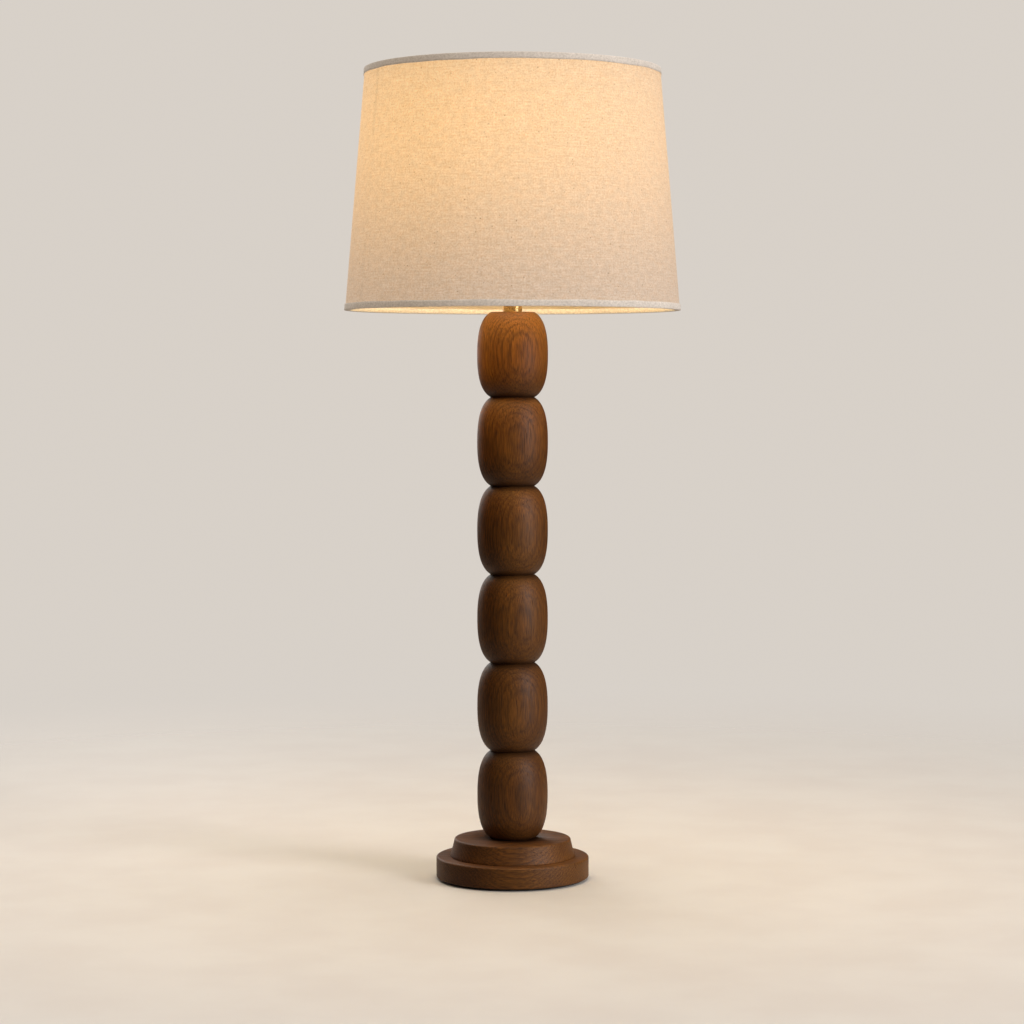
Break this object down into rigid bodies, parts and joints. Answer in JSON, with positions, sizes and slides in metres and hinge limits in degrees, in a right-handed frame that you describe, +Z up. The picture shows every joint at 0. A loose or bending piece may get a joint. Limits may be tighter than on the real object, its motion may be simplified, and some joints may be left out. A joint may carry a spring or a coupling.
{
  "type": "table lamp",
  "caption": "Table lamp with a stacked column of turned rounded wooden beads on a two-step round base and a tapered linen drum shade held on a wire harp.",
  "frame": {"origin": "centre of the felt's underside, on the lamp's own axis, on the surface that the lamp stands on", "axes": "+Z up the column; -Y towards the front, where the switch knob points; +X to the right seen from the front, in the plane of the harp"},
  "size_m": [0.315, 0.315, 0.76],
  "materials": {
    "walnut": "satin lacquer over open grain",
    "felt": "pressed felt",
    "iron": "as cast",
    "zinc_steel": "zinc plated",
    "brass": "satin",
    "insulating_board": "pressed fibre",
    "phenolic": "moulded",
    "aluminium": "bright rolled",
    "rubber": "matt",
    "frosted_glass": "frosted",
    "white_wire": "white powder coat",
    "liner": "translucent white styrene",
    "linen": "slubbed linen weave",
    "binding_tape": "grey-taupe cotton tape"
  },
  "bodies": {
    "stand": {"felt_pad": "felt", "base_plinth": "walnut", "base_step": "walnut", "base_weight": "iron", "bottom_washer": "zinc_steel", "bottom_nut": "brass", "lamp_pipe": "zinc_steel", "cord_grommet": "rubber", "bead_1": "walnut", "bead_2": "walnut", "bead_3": "walnut", "bead_4": "walnut", "bead_5": "walnut", "bead_6": "walnut", "neck": "brass", "harp_saddle": "brass", "socket_cap": "brass", "cap_set_screw": "zinc_steel", "socket_shell": "brass", "socket_insulator": "insulating_board", "socket_interior": "phenolic", "terminal_screws": "brass", "screw_shell": "aluminium", "centre_contact": "brass"},
    "switch": {"switch_shaft": "zinc_steel", "switch_knob": "phenolic"},
    "bulb": {"bulb_contact": "brass", "bulb_insulator": "phenolic", "bulb_cap": "aluminium", "bulb_glass": "frosted_glass", "bulb_stem": "frosted_glass"},
    "left_sleeve": {"sleeve_left": "brass"},
    "right_sleeve": {"sleeve_right": "brass"},
    "harp_frame": {"harp": "brass"},
    "stud": {"harp_stud": "brass"},
    "shade": {"spider_hub": "white_wire", "spider_frame": "white_wire", "shade_bottom_ring": "white_wire", "shade_liner": "liner", "shade_linen": "linen", "shade_top_trim": "binding_tape", "shade_bottom_trim": "binding_tape"},
    "finial_cap": {"finial": "brass"}
  },
  "joints": [
    {"name": "switch_turn", "type": "hinge", "parent": "stand", "child": "switch", "pos_m": [0, 0, 0.5792], "axis": [0, -1, 0], "continuous": true},
    {"name": "bulb_unscrew", "type": "slide", "parent": "stand", "child": "bulb", "axis": [0, 0, 1], "range_m": [0, 0.028]},
    {"name": "left_sleeve_lift", "type": "slide", "parent": "stand", "child": "left_sleeve", "axis": [0, 0, 1], "range_m": [0, 0.01]},
    {"name": "right_sleeve_lift", "type": "slide", "parent": "stand", "child": "right_sleeve", "axis": [0, 0, 1], "range_m": [0, 0.01]},
    {"name": "harp_lift", "type": "slide", "parent": "stand", "child": "harp_frame", "axis": [0, 0, 1], "range_m": [0, 0.012]},
    {"name": "shade_swivel", "type": "hinge", "parent": "harp_frame", "child": "stud", "pos_m": [0, 0, 0.745], "axis": [0, 0, 1], "continuous": true},
    {"name": "shade_lift", "type": "slide", "parent": "stud", "child": "shade", "axis": [0, 0, 1], "range_m": [0, 0.22]},
    {"name": "finial_unscrew", "type": "slide", "parent": "shade", "child": "finial_cap", "axis": [0, 0, 1], "range_m": [0, 0.012]}
  ]
}
